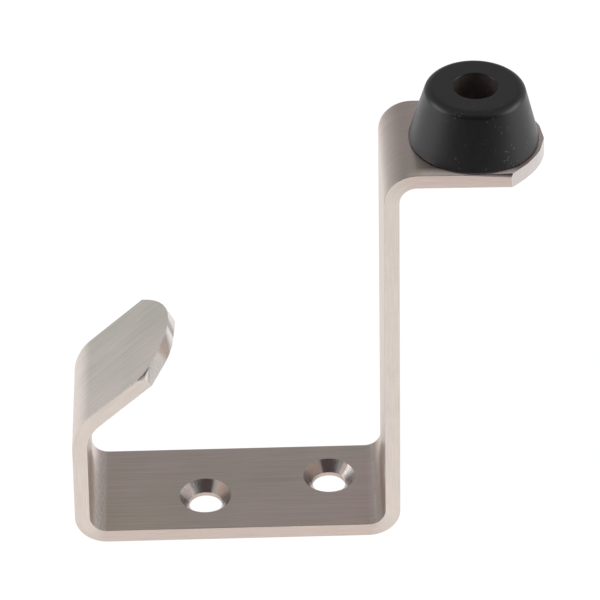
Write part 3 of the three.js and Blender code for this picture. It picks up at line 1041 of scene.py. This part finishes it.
def make_floor(colours):
    """A pale floor whose emission paints a pool of light round the object, dimmed in front of it."""
    bm = bmesh.new()
    bmesh.ops.create_circle(bm, cap_ends=True, segments=96, radius=FLOOR_RADIUS)
    floor = finished_object(bm, "floor", [])
    material = bpy.data.materials.new("floor_white")
    material.use_nodes = True
    tree = material.node_tree
    shader = tree.nodes["Principled BSDF"]
    place = tree.nodes.new("ShaderNodeTexCoord").outputs["Object"]
    away = tree.nodes.new("ShaderNodeVectorMath")
    away.operation = "LENGTH"
    tree.links.new(place, away.inputs[0])
    pool = glow_ramp(tree, away.outputs["Value"], FLOOR_GLOW)
    split = tree.nodes.new("ShaderNodeSeparateXYZ")
    tree.links.new(place, split.inputs[0])
    front = glow_ramp(tree, split.outputs["Y"], FLOOR_FRONT)
    both = mix_node(tree, pool, front)
    both.blend_type = "MULTIPLY"
    both.inputs[0].default_value = 1.0
    shader.inputs["Base Color"].default_value = (*tint(colours.floor, 0.06), 1)
    shader.inputs["Roughness"].default_value = 1.0
    shader.inputs["Specular IOR Level"].default_value = 0.0
    seen = plain_to_camera(tree, both.outputs[2])
    tree.links.new(seen, shader.inputs["Emission Color"])
    shader.inputs["Emission Strength"].default_value = 1.0
    floor.data.materials.append(material)


def make_world():
    """Soft surroundings: bright behind and beside the object, dark in front."""
    world = bpy.data.worlds.new("studio")
    bpy.context.scene.world = world
    world.use_nodes = True
    tree = world.node_tree
    place = tree.nodes.new("ShaderNodeTexCoord").outputs["Generated"]
    split = tree.nodes.new("ShaderNodeSeparateXYZ")
    tree.links.new(place, split.inputs[0])
    glow = glow_ramp(tree, split.outputs["Z"], FRONT_GLOW)
    for stops, (begins, ends) in ((SIDE_GLOW, SIDE_ZONE), (BACK_GLOW, BACK_ZONE)):
        mix = mix_node(tree, glow, glow_ramp(tree, split.outputs["Z"], stops))
        tree.links.new(glow_ramp(tree, split.outputs["Y"], [(begins, 0.0), (ends, 1.0)]), mix.inputs[0])
        glow = mix.outputs[2]
    background = tree.nodes["Background"]
    tree.links.new(plain_to_camera(tree, glow), background.inputs["Color"])
    background.inputs["Strength"].default_value = 1.0


def make_softbox(name, place):
    """A rectangular lamp that faces the object; its power follows from the radiance wanted."""
    data = bpy.data.lights.new(name, "AREA")
    data.shape = "RECTANGLE"
    data.size, data.size_y = SOFTBOX_SIZE
    data.energy = SOFTBOX_RADIANCE * math.pi * data.size * data.size_y
    lamp = bpy.data.objects.new(name, data)
    lamp.location = place
    lamp.rotation_euler = (SOFTBOX_AIM - Vector(place)).to_track_quat("-Z", "Y").to_euler()
    lamp.visible_camera = False
    bpy.context.scene.collection.objects.link(lamp)


# ---- Operators ----------------------------------------------------------------------------------

def enlist(piece, node):
    """Puts the piece on its body, and hides the CAD node that it stands for."""
    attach(piece, BODY)
    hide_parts(node)


class HOOK_OT_bracket(bpy.types.Operator):
    """Bends the flat bar into the hook, plate, arm and flange"""

    bl_idname = "buffered_hook.add_bracket"
    bl_label = "Add bracket"

    def execute(self, context):
        scene = context.scene
        colours = scene.hook_colours
        route = strip_route(scene.hook_strip)
        materials = [
            steel_brushed(colours, route), steel_ground(colours, route), steel_turned(),
            steel_filed(colours), steel_hole_wall(), steel_eased(),
        ]
        piece = make_bracket(scene.hook_strip, scene.hook_buffer, scene.hook_fixing, materials)
        enlist(piece, "hook_bracket")
        return {"FINISHED"}


class HOOK_OT_buffer(bpy.types.Operator):
    """Turns the rubber buffer on the flange"""

    bl_idname = "buffered_hook.add_buffer"
    bl_label = "Add buffer"

    def execute(self, context):
        scene = context.scene
        piece = make_buffer(scene, [rubber_black(scene.hook_colours), rubber_bore()])
        enlist(piece, "rubber_buffer")
        return {"FINISHED"}


class HOOK_OT_fixing(bpy.types.Operator):
    """Adds the screw, the washers and the nut that hold the buffer"""

    bl_idname = "buffered_hook.add_fixing"
    bl_label = "Add fixing"

    def execute(self, context):
        scene = context.scene
        materials = [steel_plated(scene.hook_colours)]
        makers = {
            "seat_washer": make_washer,
            "fixing_screw": make_screw,
            "lock_washer": make_lock_washer,
            "hex_nut": make_nut,
        }
        for node, make in makers.items():
            enlist(make(scene, materials), node)
        return {"FINISHED"}


class HOOK_OT_stage(bpy.types.Operator):
    """Adds the floor, the lights and the camera"""

    bl_idname = "buffered_hook.add_stage"
    bl_label = "Add stage"

    def execute(self, context):
        context.scene.view_settings.view_transform = "Standard"
        make_floor(context.scene.hook_colours)
        make_world()
        for name, place in SOFTBOX_PLACES.items():
            make_softbox(name, place)
        make_camera()
        return {"FINISHED"}


class HOOK_PT_panel(bpy.types.Panel):
    """Lists the steps that make the hook and its stage"""

    bl_idname = "HOOK_PT_panel"
    bl_label = "Buffered door hook"
    bl_space_type = "VIEW_3D"
    bl_region_type = "UI"
    bl_category = "Hook"

    def draw(self, context):
        for operator in OPERATORS:
            self.layout.operator(operator.bl_idname)


OPERATORS = [HOOK_OT_bracket, HOOK_OT_buffer, HOOK_OT_fixing, HOOK_OT_stage]
SETTINGS = {
    "hook_strip": HookStripSettings,
    "hook_buffer": HookBufferSettings,
    "hook_fixing": HookFixingSettings,
    "hook_colours": HookColourSettings,
}


def register():
    for kind in [*SETTINGS.values(), *OPERATORS, HOOK_PT_panel]:
        bpy.utils.register_class(kind)
    for name, kind in SETTINGS.items():
        setattr(bpy.types.Scene, name, PointerProperty(type=kind))


def unregister():
    for name in SETTINGS:
        delattr(bpy.types.Scene, name)
    for kind in [HOOK_PT_panel, *OPERATORS, *SETTINGS.values()]:
        bpy.utils.unregister_class(kind)


def main():
    register()
    bpy.ops.buffered_hook.add_bracket()
    bpy.ops.buffered_hook.add_buffer()
    bpy.ops.buffered_hook.add_fixing()
    bpy.ops.buffered_hook.add_stage()


if __name__ == "__main__":
    main()
